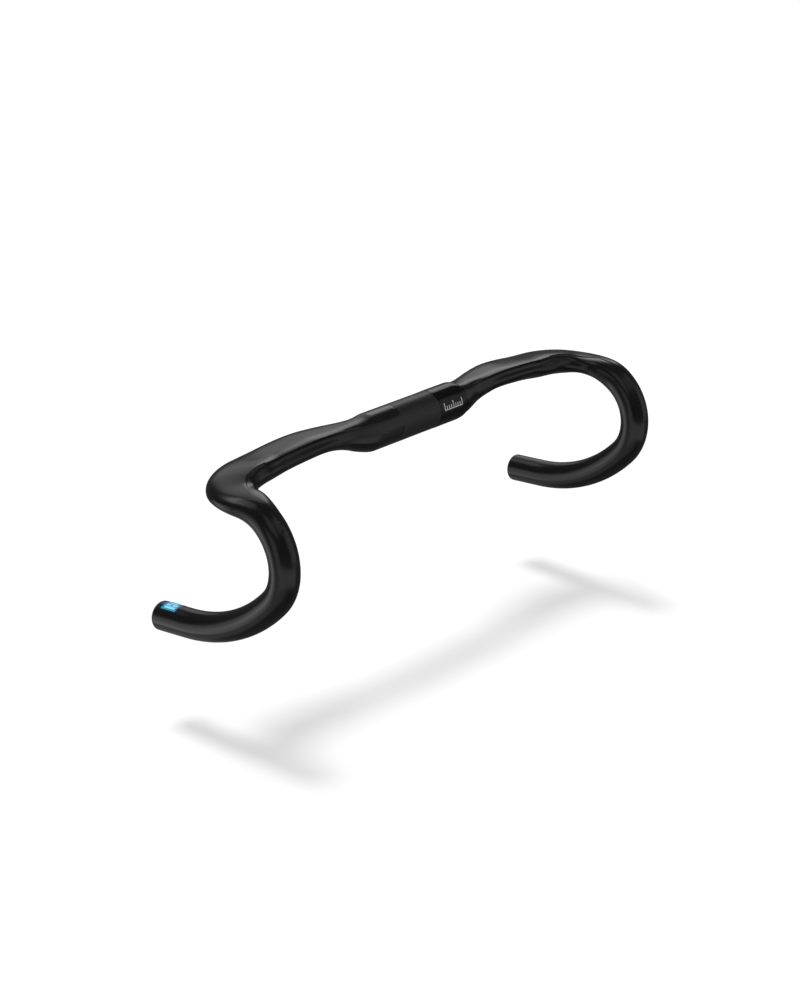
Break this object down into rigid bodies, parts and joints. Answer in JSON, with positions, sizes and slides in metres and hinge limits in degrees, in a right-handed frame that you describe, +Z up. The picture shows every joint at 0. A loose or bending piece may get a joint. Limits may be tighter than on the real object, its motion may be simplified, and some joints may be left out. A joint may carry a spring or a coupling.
{
  "type": "drop handlebar",
  "caption": "Compact drop handlebar with flattened wing tops, a cable channel along the front, round hooks and an expander plug in each end.",
  "frame": {"origin": "centre of the stem clamp, on the bar's own axis there", "axes": "+X to the rider's right along the clamp, +Y forward, +Z up; the drops point back along -Y"},
  "size_m": [0.4524, 0.1493, 0.1515],
  "materials": {
    "carbon_satin": "satin clear coat over black unidirectional carbon",
    "bare_laminate": "uncoated laminate, peel-ply texture",
    "sleeve_aluminium": "turned",
    "grip_coat": "fine gritty clamp coating",
    "decal_film": "gloss black film with a plain grey alignment grid",
    "label_film": "gloss cyan-blue film, plain",
    "cap_nylon": "fine moulded texture",
    "jaw_nylon": "moulded nylon",
    "ring_rubber": "plain",
    "plated_steel": "black zinc plating",
    "nut_aluminium": "turned"
  },
  "bodies": {
    "bar": {"top_section": "carbon_satin", "right_drop": "carbon_satin", "left_drop": "carbon_satin", "right_joint_sleeve": "bare_laminate", "left_joint_sleeve": "bare_laminate", "clamp_sleeve": "sleeve_aluminium", "clamp_grip_band": "grip_coat", "left_clamp_decal": "decal_film", "right_end_label": "label_film"},
    "right_plug": {"right_plug_cap": "cap_nylon", "right_plug_washer": "plated_steel", "right_plug_expander": "jaw_nylon", "right_plug_retaining_ring": "ring_rubber"},
    "right_plug_screw": {"right_plug_screw": "plated_steel"},
    "right_plug_nut": {"right_plug_wedge_nut": "nut_aluminium"},
    "left_plug": {"left_plug_cap": "cap_nylon", "left_plug_washer": "plated_steel", "left_plug_expander": "jaw_nylon", "left_plug_retaining_ring": "ring_rubber"},
    "left_plug_screw": {"left_plug_screw": "plated_steel"},
    "left_plug_nut": {"left_plug_wedge_nut": "nut_aluminium"}
  },
  "joints": [
    {"name": "right_plug_pull", "type": "slide", "parent": "bar", "child": "right_plug", "axis": [0.0261, -0.9959, -0.0872], "range_m": [0, 0.03]},
    {"name": "right_screw_turn", "type": "hinge", "parent": "right_plug", "child": "right_plug_screw", "pos_m": [0.21431, -0.06432, -0.12348], "axis": [0.0261, -0.9959, -0.0872], "range_deg": [0, 1440]},
    {"name": "right_nut_travel", "type": "slide", "parent": "right_plug", "child": "right_plug_nut", "axis": [-0.0261, 0.9959, 0.0872], "range_m": [0, 0.0032]},
    {"name": "left_plug_pull", "type": "slide", "parent": "bar", "child": "left_plug", "axis": [-0.0261, -0.9959, -0.0872], "range_m": [0, 0.03]},
    {"name": "left_screw_turn", "type": "hinge", "parent": "left_plug", "child": "left_plug_screw", "pos_m": [-0.21431, -0.06432, -0.12348], "axis": [-0.0261, -0.9959, -0.0872], "range_deg": [0, 1440]},
    {"name": "left_nut_travel", "type": "slide", "parent": "left_plug", "child": "left_plug_nut", "axis": [0.0261, 0.9959, 0.0872], "range_m": [0, 0.0032]}
  ],
  "couplings": [
    {"joint": "right_screw_turn", "follows": "right_nut_travel", "rad_per_m": 7854},
    {"joint": "left_screw_turn", "follows": "left_nut_travel", "rad_per_m": 7854}
  ]
}
